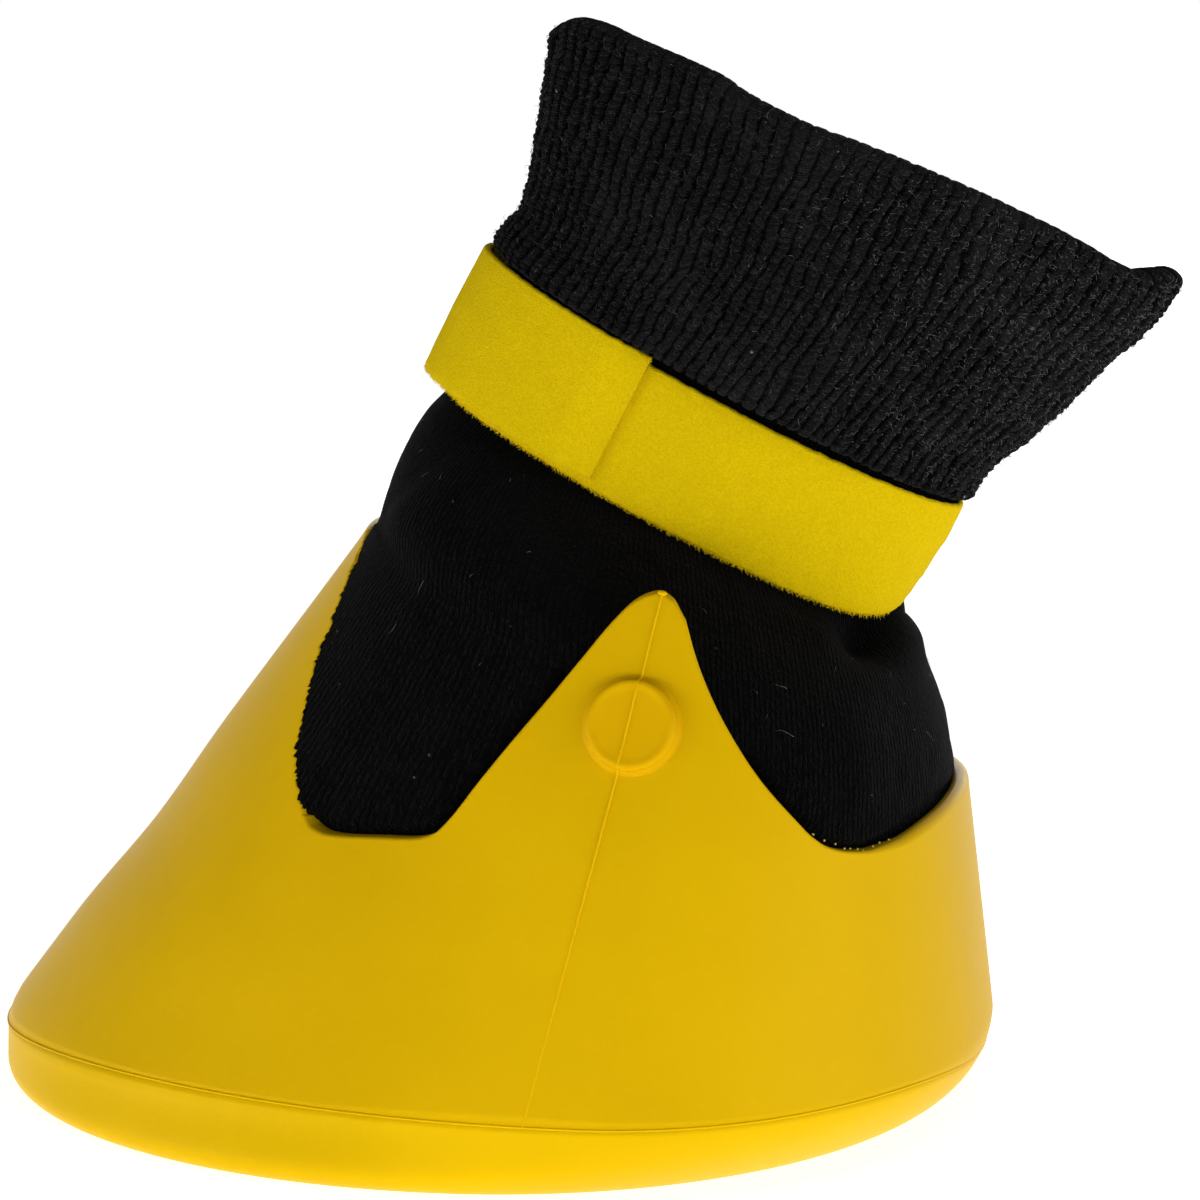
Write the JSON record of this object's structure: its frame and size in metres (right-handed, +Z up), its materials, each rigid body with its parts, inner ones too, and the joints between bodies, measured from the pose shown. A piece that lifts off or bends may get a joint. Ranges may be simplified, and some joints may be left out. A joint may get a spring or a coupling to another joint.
{
  "type": "hoof boot",
  "caption": "Moulded rubber horse hoof boot with cut-away sides, a knitted sock up the pastern, a turned-down cuff and a hook-and-loop strap whose end peels open",
  "frame": {"origin": "middle of the outsole's ground face", "axes": "+X to the heel, -X to the toe, -Y to the near side, +Z up"},
  "size_m": [0.2129, 0.16, 0.1961],
  "materials": {
    "moulded_rubber": "satin yellow moulded rubber with a faint bloom and thin mould lines",
    "loop_tape": "brushed yellow loop tape with a short fuzzy pile",
    "hook_tape": "matt dark hook tape",
    "sock_knit": "fine black rib knit",
    "cuff_knit": "coarse charcoal terry rib knit",
    "pad_foam": "matt dark closed-cell foam",
    "thread": "yellow sewing thread"
  },
  "bodies": {
    "boot": {"outsole": "moulded_rubber", "shell": "moulded_rubber", "insole_pad": "pad_foam", "sock_sole": "sock_knit", "sock_body": "sock_knit", "sock_cuff": "cuff_knit", "strap_band": "loop_tape", "anchor_stitches": "thread"},
    "tab_root": {"strap_tab_root": "loop_tape"},
    "tab_mid": {"strap_tab_mid": "loop_tape"},
    "tab_end": {"strap_tab_end": "loop_tape", "hook_patch": "hook_tape"}
  },
  "joints": [
    {"name": "tab_peel_root", "type": "hinge", "parent": "boot", "child": "tab_root", "pos_m": [0.0199, 0.02459, 0.12953], "axis": [-0.454, 0, -0.891], "range_deg": [0, 60]},
    {"name": "tab_peel_mid", "type": "hinge", "parent": "tab_root", "child": "tab_mid", "pos_m": [-0.00358, 0.0103, 0.14149], "axis": [-0.454, 0, -0.891], "range_deg": [0, 60]},
    {"name": "tab_peel_end", "type": "hinge", "parent": "tab_mid", "child": "tab_end", "pos_m": [0.00227, -0.01649, 0.13851], "axis": [-0.454, 0, -0.891], "range_deg": [0, 60]}
  ],
  "couplings": [
    {"joint": "tab_peel_mid", "follows": "tab_peel_root", "ratio": 1},
    {"joint": "tab_peel_end", "follows": "tab_peel_root", "ratio": 1}
  ]
}
